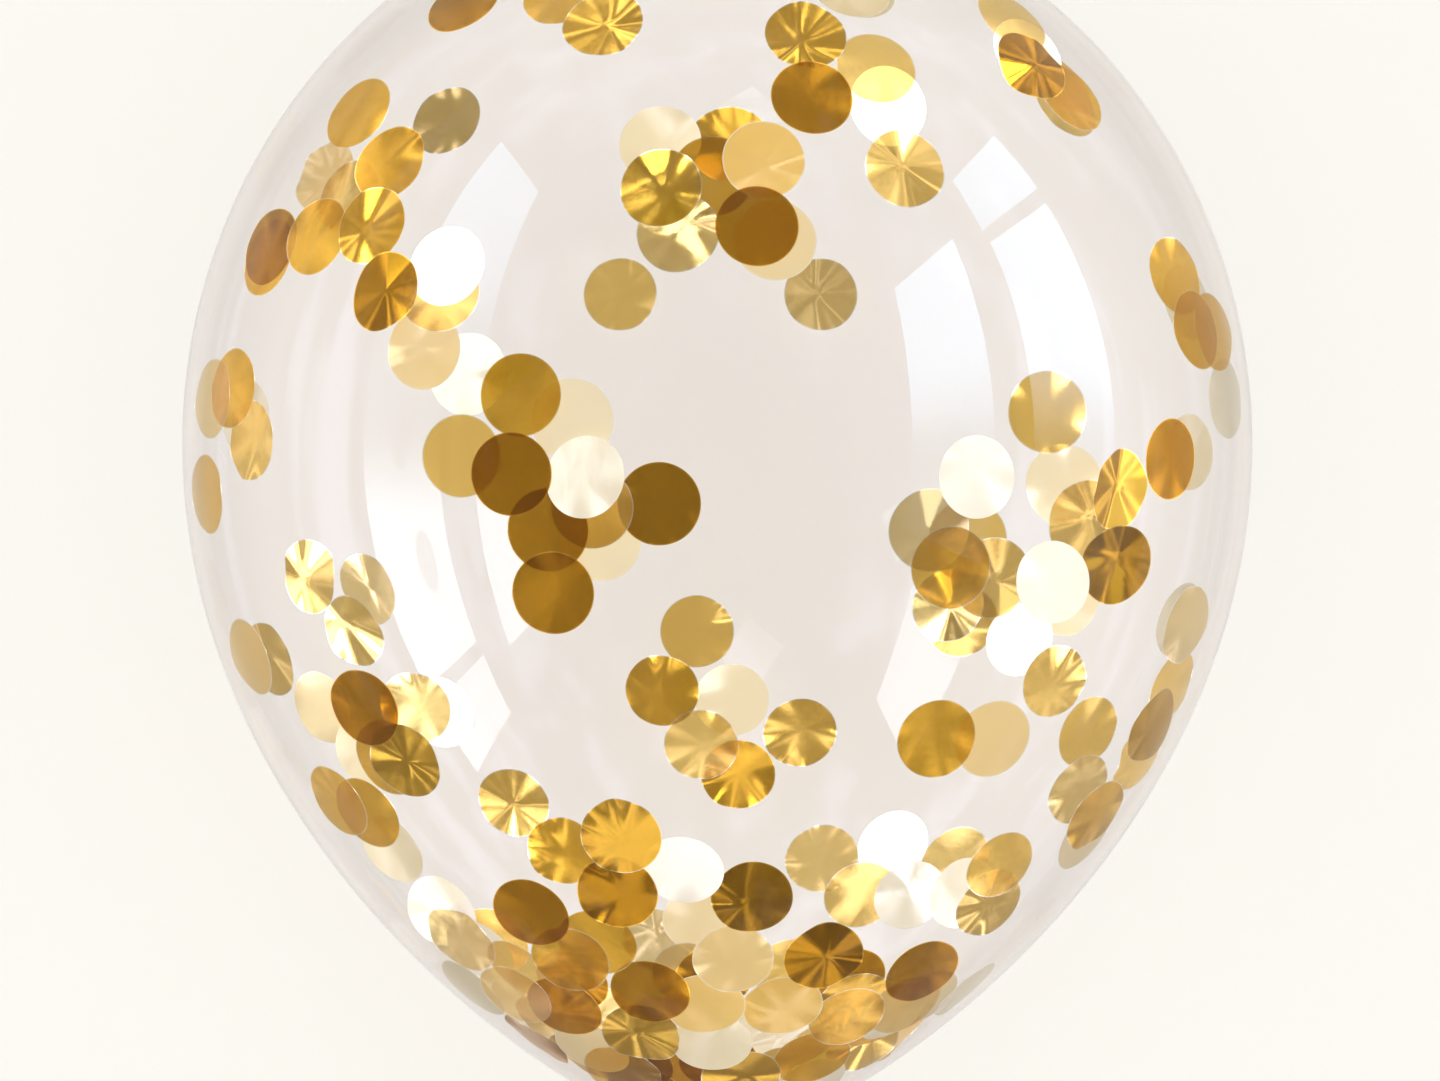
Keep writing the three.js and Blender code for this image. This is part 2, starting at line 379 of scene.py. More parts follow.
def new_object(name, vertices, faces, *materials):
    """A smooth piece in the scene."""
    mesh = bpy.data.meshes.new(name)
    mesh.from_pydata(vertices, [], faces)
    mesh.validate()
    mesh.polygons.foreach_set("use_smooth", [True] * len(mesh.polygons))
    for material in materials:
        mesh.materials.append(material)
    piece = bpy.data.objects.new(name, mesh)
    bpy.context.scene.collection.objects.link(piece)
    return piece


def add_attribute(piece, name, values):
    """One number for each vertex, which a material reads by its name."""
    attribute = piece.data.attributes.new(name, "FLOAT", "POINT")
    attribute.data.foreach_set("value", values)


# Outline of the skin

def skin_outline(crown_steps, taper_steps, neck_steps):
    """(radius, station along Y) from the crown's top to the start of the knot."""
    points = []
    for i in range(crown_steps + 1):
        angle = (1 - i / crown_steps) * math.pi / 2
        points.append((RADIUS * math.cos(angle), CROWN * math.sin(angle)))
    for i in range(1, taper_steps + 1):
        angle = i / taper_steps * TAPER_END
        points.append((RADIUS * math.cos(angle) ** TAPER_POWER, -TAPER * math.sin(angle)))
    start = Vector((*points[-1], 0))
    slope = Vector((
        -TAPER_POWER * RADIUS * math.cos(TAPER_END) ** (TAPER_POWER - 1) * math.sin(TAPER_END),
        -TAPER * math.cos(TAPER_END),
        0,
    ))
    neck = interpolate_bezier(
        start,
        start + slope * NECK_FLARE,
        Vector((NECK_RADIUS, NECK_LENGTH - KNOT_START, 0)),
        Vector((NECK_RADIUS, -KNOT_START, 0)),
        neck_steps + 1,
    )
    points += [(p.x, p.y) for p in neck[1:]]
    return points


OUTLINE = skin_outline(*WALL_STEPS)
STATIONS = [-station for _, station in OUTLINE]


def wall_radius(station):
    """Radius of the skin's inside at a station along Y."""
    i = min(max(bisect.bisect_left(STATIONS, -station), 1), len(OUTLINE) - 1)
    (r0, y0), (r1, y1) = OUTLINE[i - 1], OUTLINE[i]
    share = min(max((station - y0) / (y1 - y0), 0), 1)
    return r0 + (r1 - r0) * share - SKIN


def wall_reach(point):
    """How far a point is outside the skin's inside, measured across the axis (negative inside)."""
    return math.hypot(point.x, point.z - AXIS_HEIGHT) - wall_radius(point.y)


def wall_normal(point):
    """The skin's outward direction at a point on it."""
    across = math.hypot(point.x, point.z - AXIS_HEIGHT)
    slope = (wall_radius(point.y + MM) - wall_radius(point.y - MM)) / (2 * MM)
    return Vector((point.x / across, -slope, (point.z - AXIS_HEIGHT) / across)).normalized()


# Camera, straight above the lying balloon

def focal_pixels():
    """Focal length, from the widest outline's place in the photograph."""
    return HALF_WIDTH_PIXELS * math.sqrt(CAMERA_DISTANCE**2 - RADIUS**2) / RADIUS


METRES_PER_PIXEL = CAMERA_DISTANCE / focal_pixels()
CAMERA_PLACE = Vector((
    (PHOTO_WIDTH / 2 - AXIS_ACROSS) * METRES_PER_PIXEL,
    (WIDEST_DOWN - PHOTO_HEIGHT / 2) * METRES_PER_PIXEL,
    AXIS_HEIGHT + CAMERA_DISTANCE,
))


def make_camera():
    """The photograph's view. A camera that isn't turned looks straight down with +Y up."""
    lens = bpy.data.cameras.new("camera")
    lens.sensor_width = SENSOR_MM
    lens.lens = focal_pixels() / PHOTO_WIDTH * SENSOR_MM
    camera = bpy.data.objects.new("camera", lens)
    camera.location = CAMERA_PLACE
    bpy.context.scene.collection.objects.link(camera)
    bpy.context.scene.camera = camera


def wall_spot(across, down, wall):
    """The point of the skin's inside that shows at a pixel, on the near or the far wall."""
    sight = Vector((
        (across - PHOTO_WIDTH / 2) / focal_pixels(),
        (PHOTO_HEIGHT / 2 - down) / focal_pixels(),
        -1,
    ))
    inside = CAMERA_DISTANCE
    outside = CAMERA_DISTANCE + (-1 if wall == NEAR else 1) * RADIUS * SEARCH_REACH
    for _ in range(SEARCH_STEPS):
        middle = (inside + outside) / 2
        if wall_reach(CAMERA_PLACE + sight * middle) < 0:
            inside = middle
        else:
            outside = middle
    return CAMERA_PLACE + sight * inside


# Shader nodes

def principled(name):
    """A new material, its node tree and its main shader."""
    material = bpy.data.materials.new(name)
    material.use_nodes = True
    return material, material.node_tree, material.node_tree.nodes["Principled BSDF"]


def attribute_value(tree, name):
    """The number that the vertices carry under a name."""
    attribute = tree.nodes.new("ShaderNodeAttribute")
    attribute.attribute_name = name
    return attribute.outputs["Fac"]


def noise_bump(tree, shader, scale, detail, strength, depth):
    """Noise over a piece that makes its face a little uneven. Returns the noise."""
    place = tree.nodes.new("ShaderNodeTexCoord")
    noise = tree.nodes.new("ShaderNodeTexNoise")
    noise.inputs["Scale"].default_value = scale
    noise.inputs["Detail"].default_value = detail
    bump = tree.nodes.new("ShaderNodeBump")
    bump.inputs["Strength"].default_value = strength
    bump.inputs["Distance"].default_value = depth
    tree.links.new(place.outputs["Object"], noise.inputs["Vector"])
    tree.links.new(noise.outputs["Fac"], bump.inputs["Height"])
    tree.links.new(bump.outputs["Normal"], shader.inputs["Normal"])
    return noise.outputs["Fac"]


def ramp_colour(tree, value, stops):
    """The colour at a value, between stops of (place, colour). The first is at 0 and the last at 1."""
    ramp = tree.nodes.new("ShaderNodeValToRGB")
    elements = ramp.color_ramp.elements
    for place, _ in stops[1:-1]:
        elements.new(place)
    for element, (_, colour) in zip(elements, stops):
        element.color = colour
    tree.links.new(value, ramp.inputs["Fac"])
    return ramp.outputs["Color"]


def remapped(tree, value, before=(0, 1), after=(0, 1), smooth=False):
    """A value moved from one range to another, and held at that range's ends."""
    node = tree.nodes.new("ShaderNodeMapRange")
    node.interpolation_type = "SMOOTHSTEP" if smooth else "LINEAR"
    node.inputs["From Min"].default_value, node.inputs["From Max"].default_value = before
    node.inputs["To Min"].default_value, node.inputs["To Max"].default_value = after
    tree.links.new(value, node.inputs["Value"])
    return node.outputs["Result"]


def product(tree, first, second):
    """Two values multiplied."""
    node = tree.nodes.new("ShaderNodeMath")
    node.operation = "MULTIPLY"
    tree.links.new(first, node.inputs[0])
    tree.links.new(second, node.inputs[1])
    return node.outputs["Value"]


def mixed_colour(tree, share, first, second):
    """The first colour where the share is 0, and the second where it is 1."""
    node = tree.nodes.new("ShaderNodeMix")
    node.data_type = "RGBA"
    node.inputs["A"].default_value = first
    node.inputs["B"].default_value = second
    tree.links.new(share, node.inputs["Factor"])
    return node.outputs["Result"]


def mixed_shader(tree, share, first, second):
    """The first shader where the share is 0, and the second where it is 1 or more."""
    node = tree.nodes.new("ShaderNodeMixShader")
    tree.links.new(share, node.inputs["Fac"])
    tree.links.new(first, node.inputs[1])
    tree.links.new(second, node.inputs[2])
    return node.outputs["Shader"]


def inside_share(tree, path):
    """1 for light that crossed the double wall of the skin twice, and 0 for what the skin itself mirrors."""
    inside = tree.nodes.new("ShaderNodeMath")
    inside.operation = "GREATER_THAN"
    inside.inputs[1].default_value = SKIN_CROSSINGS
    tree.links.new(path.outputs["Transmission Depth"], inside.inputs[0])
    return inside.outputs["Value"]


# Materials of the balloon

def latex_skin_material():
    """Stretched clear latex: see-through and glossy, with a faint unevenness left by the dipping."""
    material, tree, shader = principled("clear_latex")
    shader.inputs["Base Color"].default_value = CLEAR_LATEX
    shader.inputs["Roughness"].default_value = 0.0
    shader.inputs["IOR"].default_value = 1.25
    shader.inputs["Transmission Weight"].default_value = 1.0
    noise_bump(tree, shader, scale=28, detail=2, strength=0.06, depth=0.4 * MM)
    return material


def latex_knot_material():
    """Unstretched latex at the knot and tail: thicker and milky."""
    material, tree, shader = principled("milky_latex")
    shader.inputs["Roughness"].default_value = 0.22
    shader.inputs["IOR"].default_value = 1.5
    shader.inputs["Transmission Weight"].default_value = 0.75
    clouds = noise_bump(tree, shader, scale=180, detail=2, strength=0.25, depth=0.3 * MM)
    tree.links.new(ramp_colour(tree, clouds, MILKY_LATEX), shader.inputs["Base Color"])
    return material


def foil_material(name, clear, bending):
    """Metallised film: mirrors like gold, and lets a little tinted light through. Its colour follows each
    round's shade, which is painted reflection; the palest take a pale, partly diffuse foil whose paleness is
    painted glare.
    """
    material, tree, shader = principled(name)
    shader.inputs["IOR"].default_value = bending
    shader.inputs["Transmission Weight"].default_value = clear
    tree.links.new(attribute_value(tree, "metal"), shader.inputs["Metallic"])
    colour = ramp_colour(tree, attribute_value(tree, "shade"), FOIL_COLOURS)
    tree.links.new(colour, shader.inputs["Base Color"])
    grain = noise_bump(tree, shader, scale=420, detail=3, strength=0.12, depth=0.15 * MM)
    tree.links.new(remapped(tree, grain, after=FOIL_ROUGHNESS), shader.inputs["Roughness"])
    return material


# Latex skin, knot and tail

def tube_faces(rows, sides):
    """Faces of a tube of rings of vertices, with both ends closed."""
    faces = []
    for row in range(rows - 1):
        for k in range(sides):
            a, b = row * sides + k, row * sides + (k + 1) % sides
            faces.append((a, b, b + sides, a + sides))
    faces.append(tuple(reversed(range(sides))))
    faces.append(tuple((rows - 1) * sides + k for k in range(sides)))
    return faces


def revolve(outline, sides, bend=None):
    """Vertices and faces of an outline of (radius, station) turned about the axis, with closed ends."""
    vertices = []
    for radius, station in outline:
        for k in range(sides):
            turn = 2 * math.pi * k / sides
            point = Vector((radius * math.cos(turn), station, radius * math.sin(turn)))
            vertices.append(bend(point) if bend else point)
    return vertices, tube_faces(len(outline), sides)


def make_skin(material):
    """A thin double wall: the outside runs from the crown to the knot, and the inside back up again."""
    outer = skin_outline(*SKIN_STEPS)
    outer[0] = (POLE_RADIUS, CROWN)
    inner = []
    for i, (radius, station) in enumerate(outer):
        before, after = outer[max(i - 1, 0)], outer[min(i + 1, len(outer) - 1)]
        along = Vector((after[0] - before[0], after[1] - before[1])).normalized()
        inner.append((radius + along.y * SKIN, station - along.x * SKIN))
    inner[0] = (POLE_RADIUS, CROWN - SKIN)
    loop = outer + inner[::-1]
    vertices, faces = revolve(loop, SKIN_SIDES)
    for i, point in enumerate(vertices):
        rest = 0 if i < len(outer) * SKIN_SIDES else SKIN
        point.z = max(point.z + AXIS_HEIGHT, rest)
    skin = new_object("latex_skin", vertices, faces, material)
    skin.visible_shadow = False
    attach(skin, BODY)
    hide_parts(NODE)


def knot_strand():
    """The strand of the neck that wraps round the axis and goes back in, as rings about its path."""
    path = []
    for i in range(STRAND_STEPS + 1):
        t = i / STRAND_STEPS
        angle = t * KNOT_TURNS * 2 * math.pi
        reach = KNOT_COIL * math.sin(math.pi * t) ** KNOT_FULLNESS
        station = -KNOT_START - KNOT_LENGTH * t
        path.append(Vector((reach * math.cos(angle), station, reach * math.sin(angle))))
    vertices = []
    for i, middle in enumerate(path):
        along = (path[min(i + 1, STRAND_STEPS)] - path[max(i - 1, 0)]).normalized()
        outward = Vector((middle.x, 0, middle.z)) if middle.xz.length > MM else Vector((1, 0, 0))
        across = along.cross(outward).normalized()
        outward = across.cross(along)
        for k in range(STRAND_SIDES):
            turn = 2 * math.pi * k / STRAND_SIDES
            vertices.append(middle + STRAND_RADIUS * (across * math.cos(turn) + outward * math.sin(turn)))
    return vertices, tube_faces(STRAND_STEPS + 1, STRAND_SIDES)


def tail_outline():
    """(radius, station) of the core through the knot, the flare, round the rolled lip and into the mouth."""
    flare = interpolate_bezier(
        Vector((CORE_RADIUS, STRAND_RADIUS / 2 - KNOT_END, 0)),
        Vector((CORE_RADIUS, -KNOT_END - (TAIL_END - KNOT_END) / 3, 0)),
        Vector((LIP_RADIUS - LIP_BEAD, LIP_RUN - TAIL_END, 0)),
        Vector((LIP_RADIUS - LIP_BEAD / 2, LIP_BEAD * 2 - TAIL_END, 0)),
        FLARE_POINTS,
    )
    points = [(CORE_RADIUS, -KNOT_START + MM)] + [(p.x, p.y) for p in flare]
    for i in range(BEAD_STEPS + 1):
        angle = BEAD_FROM - BEAD_TURN * i / BEAD_STEPS
        points.append((LIP_RADIUS + LIP_BEAD * math.cos(angle), LIP_BEAD * (1 + math.sin(angle)) - TAIL_END))
    points.append((CORE_RADIUS / 2, MOUTH_DEPTH - TAIL_END))
    return points


def pleat_tail(point):
    """Pleats open out of the knot, and the mouth is squeezed flat."""
    opening = min(max((-point.y - KNOT_END) / (TAIL_END - KNOT_END), 0), 1)
    pleat = 1 + PLEAT_DEPTH * opening * math.cos(PLEATS * math.atan2(point.z, point.x))
    squeeze = 1 + (MOUTH_SQUEEZE - 1) * opening
    return Vector((point.x * pleat, point.y, point.z * pleat * squeeze))


def make_knot(material):
    """Neck strand, core and tail, melted into one piece of latex."""
    vertices, faces = knot_strand()
    tail_vertices, tail_faces = revolve(tail_outline(), TAIL_SIDES, pleat_tail)
    first = len(vertices)
    vertices += tail_vertices
    faces += [tuple(first + k for k in face) for face in tail_faces]
    vertices = [point + Vector((0, 0, AXIS_HEIGHT)) for point in vertices]
    rough = new_object("rough_knot", vertices, faces, material)
    melt = rough.modifiers.new("melt", "REMESH")
    melt.mode = "VOXEL"
    melt.voxel_size = VOXEL
    soften = rough.modifiers.new("soften", "SMOOTH")
    soften.factor = SOFTENING
    soften.iterations = SOFTENING_ROUNDS
    ready = rough.evaluated_get(bpy.context.evaluated_depsgraph_get())
    knot = bpy.data.objects.new("balloon_knot", bpy.data.meshes.new_from_object(ready))
    bpy.data.objects.remove(rough)
    knot.data.polygons.foreach_set("use_smooth", [True] * len(knot.data.polygons))
    bpy.context.scene.collection.objects.link(knot)
    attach(knot, BODY)
    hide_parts(NODE)


# Glowing cards, placed first because the foil is turned to them or away from them

def mirrored_way(spot, face):
    """Direction of what the camera sees mirrored at a spot that faces this way."""
    view = (CAMERA_PLACE - spot).normalized()
    return face * 2 * face.dot(view) - view


class Card:
    """A glowing rectangle: its middle, its half edges, and how its glow rises along the first of them."""

    def __init__(self, middle, along, up, radiance, fade=EVEN_GLOW):
        self.middle = middle
        self.along = along
        self.up = up
        self.radiance = radiance
        self.faded, self.full = fade

    def glow(self, place):
        """Radiance at a place from -1 to 1 along the card."""
        share = min(max((place - self.faded) / (self.full - self.faded), 0), 1)
        return self.radiance * (FADED + (1 - FADED) * share * share * (3 - 2 * share))

    def seen(self, spot, way, margin):
        """Glow that is met from a spot in a direction, with the card widened by a margin."""
        normal = self.along.cross(self.up)
        slope = way.dot(normal)
        if abs(slope) < NEARLY_PARALLEL:
            return 0
        reach = (self.middle - spot).dot(normal) / slope
        if reach < 0:
            return 0
        offset = spot + way * reach - self.middle
        beside = offset.dot(self.along) / self.along.length
        above = offset.dot(self.up) / self.up.length
        if abs(beside) > self.along.length + margin or abs(above) > self.up.length + margin:
            return 0
        return self.glow(beside / self.along.length)


def make_cards():
    """The windows at the sides, and the soft boxes."""
    cards = {}
    for name, (side, along, height, radiance, fade) in WINDOWS.items():
        middle = Vector((side * WINDOW_DISTANCE, sum(along) / 2, sum(height) / 2))
        half = (along[1] - along[0]) / 2
        fade = [(station - middle.y) / half for station in fade]
        up = Vector((0, 0, (height[1] - height[0]) / 2))
        cards[name] = Card(middle, Vector((0, half, 0)), up, radiance, fade)
    for name, (across, down) in SOFTBOXES.items():
        spot = wall_spot(across, down, NEAR)
        away = mirrored_way(spot, wall_normal(spot))
        along = away.orthogonal().normalized() * SOFTBOX_WIDTH / 2
        cards[name] = Card(spot + away * SOFTBOX_DISTANCE, along, away.cross(along), SOFTBOX_RADIANCE)
    return cards


CARDS = make_cards()


# Confetti

def ways_round(face, count):
    """Directions spread evenly round a face, square to it."""
    side = face.orthogonal().normalized()
    other = face.cross(side)
    for k in range(count):
        turn = 2 * math.pi * k / count
        yield side * math.cos(turn) + other * math.sin(turn)


class Disc:
    """A round of foil: its middle, the side that shows, the way it is stacked, and its height and depth."""

    def __init__(self, middle, face, inward, relief):
        self.middle = middle
        self.face = face
        self.inward = inward
        self.relief = relief
        turns = [2 * math.pi * k / RELIEF_WAYS for k in range(RELIEF_WAYS)]
        heights = [relief(share, turn) for share in RELIEF_SHARES for turn in turns]
        self.top = max(heights)
        self.bottom = min(heights)

    def spots(self):
        """Points over the round, for keeping it clear of the wall and of its neighbours."""
        points = [self.middle.copy()]
        for share in SPOT_SHARES:
            reach = DISC_RADIUS * share
            points += [self.middle + way * reach for way in ways_round(self.face, SPOT_WAYS)]
        return points

    def clear_wall(self):
        """Moves in until the whole round is inside the skin."""
        for _ in range(WALL_TRIES):
            excess = max(max(wall_reach(p), SKIN - p.z) for p in self.spots()) + WALL_GAP
            if excess <= 0:
                return
            self.middle += self.inward * excess

    def clear_disc(self, other):
        """Moves further in until it lies over the other round."""
        gap = LAYER + (other.top - other.bottom) * RELIEF_SHARE
        for _ in range(DISC_TRIES):
            if (self.middle - other.middle).length >= 2 * DISC_RADIUS:
                return
            over = other.face if other.face.dot(self.inward) > 0 else -other.face
            own = self.face if self.face.dot(self.inward) > 0 else -self.face
            move = 0
            for p in self.spots():
                offset = p - other.middle
                height = offset.dot(over)
                if (offset - over * height).length < DISC_RADIUS:
                    move = max(move, (gap - height) / max(over.dot(self.inward), LEAST_LIFT))
            for p in other.spots():
                offset = p - self.middle
                height = offset.dot(own)
                if (offset - own * height).length < DISC_RADIUS:
                    move = max(move, (gap + height) / max(own.dot(self.inward), LEAST_LIFT))
            if move == 0:
                return
            self.middle += self.inward * move


def tilted(face):
    """A direction and its neighbours, with rising tilt."""
    yield face
    for degrees in range(TILT_STEP, MAX_TILT + 1, TILT_STEP):
        reach = math.tan(math.radians(degrees))
        for way in ways_round(face, TILT_WAYS):
            yield (face + way * reach).normalized()


def mirrored_glow(spot, face, margin):
    """The brightest card that the camera sees mirrored at a spot that faces this way."""
    way = mirrored_way(spot, face)
    return max(card.seen(spot, way, margin) for card in CARDS.values())


def turned_face(spot, face, fold, shade):
    """The least turn that lets a white or glinting round mirror a card, and keeps others from it."""
    if shade == WHITE or fold == GLINTING:
        for choice in tilted(face):
            if mirrored_glow(spot, choice, -GLARE_MARGIN) > BRIGHT_GLOW:
                return choice
        return face
    for choice in tilted(face):
        if mirrored_glow(spot, choice, CLEAR_MARGIN) == 0:
            return choice
    return face


def lay_disc(spot, facing_out, fold, shade, placed, dice):
    """A round on the wall, turned a little towards the camera, clear of the wall and of those before it."""
    outward = wall_normal(spot)
    face = outward if facing_out else -outward
    view = (CAMERA_PLACE - spot).normalized()
    turn = min(TURN_TO_EYE, math.radians(MAX_TURN) / max(face.angle(view), SMALL_ANGLE))
    face = turned_face(spot, face.slerp(view, turn), fold, shade)
    wobble = Vector((dice.uniform(-1, 1), dice.uniform(-1, 1), dice.uniform(-1, 1))) * WOBBLE
    inward = -outward
    if abs(outward.dot(view)) > SIGHT_STACKING:
        inward = -view if facing_out else view
    disc = Disc(spot.copy(), (face + wobble).normalized(), inward, foil_relief(fold, shade, dice))
    disc.clear_wall()
    for other in placed:
        disc.clear_disc(other)
    placed.append(disc)
    return disc


def foil_relief(fold, shade, dice):
    """Height of the foil over its flat round, as a function of radius (0 to 1) and angle."""
    wave_height, wave_counts, growth = FANS[fold]
    calm = WHITE_CALM if shade == WHITE else 1
    curl = dice.uniform(*CURL) * dice.choice((-1, 1)) * calm * MM
    curl_way = dice.uniform(0, math.pi)
    wave_height *= calm
    waves = []
    for count in dice.sample(wave_counts, WAVES_EACH):
        size = wave_height * dice.uniform(*WAVE_SHARE) / count
        waves.append((count, size, dice.uniform(0, 2 * math.pi)))
    middle_across = dice.uniform(-WAVE_OFFSET, WAVE_OFFSET)
    middle_up = dice.uniform(-WAVE_OFFSET, WAVE_OFFSET)
    creases = []
    for _ in range(CREASES if fold in (CRUMPLED, GLINTING) else 0):
        depth = dice.uniform(*CREASE_DEPTH) * dice.choice((-1, 1)) * MM
        way = dice.uniform(0, 2 * math.pi)
        creases.append((way, dice.uniform(-CREASE_OFFSET, CREASE_OFFSET), depth))

    def height(radius, angle):
        total = curl * (radius * math.cos(angle - curl_way)) ** 2
        across = radius * math.cos(angle) - middle_across
        up = radius * math.sin(angle) - middle_up
        for count, size, start in waves:
            wave = math.cos(count * math.atan2(up, across) + start)
            total += size * math.hypot(across, up) ** growth * wave
        for way, offset, depth in creases:
            total += depth * max(0, radius * math.cos(angle - way) - offset)
        return total

    return height


def foil_mesh(disc, dice):
    """Vertices, faces and which vertices are on the cut edge, of one round of foil."""
    side = disc.face.orthogonal().normalized()
    side = Matrix.Rotation(dice.uniform(0, 2 * math.pi), 3, disc.face) @ side
    other = disc.face.cross(side)
    sunk = disc.top if disc.face.dot(disc.inward) < 0 else disc.bottom

    def point(ring, angle, level):
        flat = (side * math.cos(angle) + other * math.sin(angle)) * ring * DISC_RADIUS
        return disc.middle + flat + disc.face * (disc.relief(ring, angle) - sunk + level)

    rings = [(i + 1) / DISC_RINGS * EDGE_START for i in range(DISC_RINGS)] + [1.0]
    angles = [2 * math.pi * k / DISC_SIDES for k in range(DISC_SIDES)]
    vertices, faces, on_edge = [], [], []
    for level in (0, -DISC_THICKNESS):
        first = len(vertices)
        vertices.append(point(0, 0, level))
        vertices += [point(ring, angle, level) for ring in rings for angle in angles]
        on_edge += [False] * (1 + DISC_RINGS * DISC_SIDES) + [True] * DISC_SIDES
        for k in range(DISC_SIDES):
            after = (k + 1) % DISC_SIDES
            fan = (first, first + 1 + k, first + 1 + after)
            faces.append(fan if level == 0 else fan[::-1])
            for row in range(DISC_RINGS):
                a, b = first + 1 + row * DISC_SIDES + k, first + 1 + row * DISC_SIDES + after
                quad = (a, a + DISC_SIDES, b + DISC_SIDES, b)
                faces.append(quad if level == 0 else quad[::-1])
    first = len(vertices)
    vertices += [point(1.0, angle, level) for level in (0, -DISC_THICKNESS) for angle in angles]
    on_edge += [True] * 2 * DISC_SIDES
    for k in range(DISC_SIDES):
        a, b = first + k, first + (k + 1) % DISC_SIDES
        faces.append((a, a + DISC_SIDES, b + DISC_SIDES, b))
    return vertices, faces, on_edge


def make_cluster(name, rounds, foils, placed, dice):
    """One piece of many rounds, each given as (spot, facing out, foil shape, shade)."""
    vertices, faces, slots, shades, metals = [], [], [], [], []
    for spot, facing_out, fold, shade in rounds:
        disc = lay_disc(spot, facing_out, fold, shade, placed, dice)
        disc_vertices, disc_faces, on_edge = foil_mesh(disc, dice)
        first = len(vertices)
        vertices += disc_vertices
        faces += [tuple(first + k for k in face) for face in disc_faces]
        # Cream, pale and white rounds take the pale foil, whose paleness is painted glare
        painted_glare = shade in PAINTED_GLARE_SHADES
        slots += [int(painted_glare)] * len(disc_faces)
        metals += [PAINTED_GLARE_METAL if painted_glare else METAL[fold] * SHADE_METAL[shade]] * len(disc_vertices)
        # Gold rounds on the far wall are painted lighter: a painted veil for the skin's reflections over
        # them
        if not facing_out and shade == GOLD:
            shade += FAR_PAINTED_VEIL
        shade = min(max(shade + dice.uniform(-SHADE_SPREAD, SHADE_SPREAD), 0), 1)
        # The rim is painted lighter: a painted highlight along the cut edge
        shades += [min(shade + EDGE_HIGHLIGHT * edge, 1) for edge in on_edge]
    cluster = new_object(name, vertices, faces, *foils)
    cluster.visible_glossy = False
    cluster.data.polygons.foreach_set("material_index", slots)
    # The shade attribute is painted reflection, which the foil's colour ramp reads
    add_attribute(cluster, "shade", shades)
    add_attribute(cluster, "metal", metals)
    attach(cluster, BODY)


def ring_spot(station, turn):
    """The point of the skin's inside at a station along Y, turned about the axis from +X."""
    reach = wall_radius(station)
    return Vector((reach * math.cos(turn), station, AXIS_HEIGHT + reach * math.sin(turn)))


def make_confetti():
    """The rounds that the photograph shows, the heap towards the neck and the strays at the crown."""
    gold_foil = foil_material("gold_foil", clear=1.0, bending=1.03)
    # The pale foil's whiteness is painted glare
    pale_glare_foil = foil_material("pale_glare_foil", clear=0.25, bending=1.45)
    foils = gold_foil, pale_glare_foil
    dice = random.Random(SEED)
    placed = []
    for name, rows in CONFETTI.items():
        rounds = [(wall_spot(a, d, wall), wall == NEAR, fold, shade) for a, d, wall, fold, shade in rows]
        make_cluster(name, rounds, foils, placed, dice)
    heap = []
    for station, count in NECK_HEAP:
        for k in range(count):
            turn = 2 * math.pi * (k + dice.uniform(-HEAP_TURN_SPREAD, HEAP_TURN_SPREAD)) / count
            spot = ring_spot(station + dice.uniform(-HEAP_SPREAD, HEAP_SPREAD) * MM, turn)
            heap.append((spot, spot.z > AXIS_HEIGHT, dice.choice(FOLDS), dice.choice(SHADES)))
    make_cluster("confetti_neck_heap", heap, foils, placed, dice)
    strays = [
        (ring_spot(station * MM, math.radians(turn)), turn < 180, fold, shade)
        for station, turn, fold, shade in CROWN_STRAYS
    ]
    make_cluster("confetti_crown", strays, foils, placed, dice)


# Studio: pale floor, soft light, and the cards and the room that the gloss mirrors

def make_floor():
    """Pale floor, left out of mirrors so that they show the room all round."""
    material, tree, shader = principled("pale_floor")
    shader.inputs["Base Color"].default_value = FLOOR_COLOUR
    shader.inputs["Roughness"].default_value = FLOOR_ROUGHNESS
    shader.inputs["Specular IOR Level"].default_value = 0
    clear = tree.nodes.new("ShaderNodeBsdfTransparent")
    mirrored = tree.nodes.new("ShaderNodeLightPath").outputs["Glossy Depth"]
    shown = mixed_shader(tree, mirrored, shader.outputs["BSDF"], clear.outputs["BSDF"])
    tree.links.new(shown, tree.nodes["Material Output"].inputs["Surface"])
    half = FLOOR_SIZE / 2
    corners = [(-half, -half, FLOOR_HEIGHT), (half, -half, FLOOR_HEIGHT)]
    corners += [(half, half, FLOOR_HEIGHT), (-half, half, FLOOR_HEIGHT)]
    floor = new_object("floor", corners, [(0, 1, 2, 3)], material)


def make_lamp():
    """Most of the light, wide and soft from overhead. It throws no shadows and is not mirrored."""
    light = bpy.data.lights.new("soft_overhead", "SUN")
    light.energy = LAMP_STRENGTH
    light.angle = LAMP_ANGLE
    light.color = STUDIO_COLOUR[:3]
    light.use_shadow = False
    lamp = bpy.data.objects.new("soft_overhead", light)
    lamp.visible_camera = False
    lamp.visible_glossy = False
    lamp.visible_transmission = False
    bpy.context.scene.collection.objects.link(lamp)


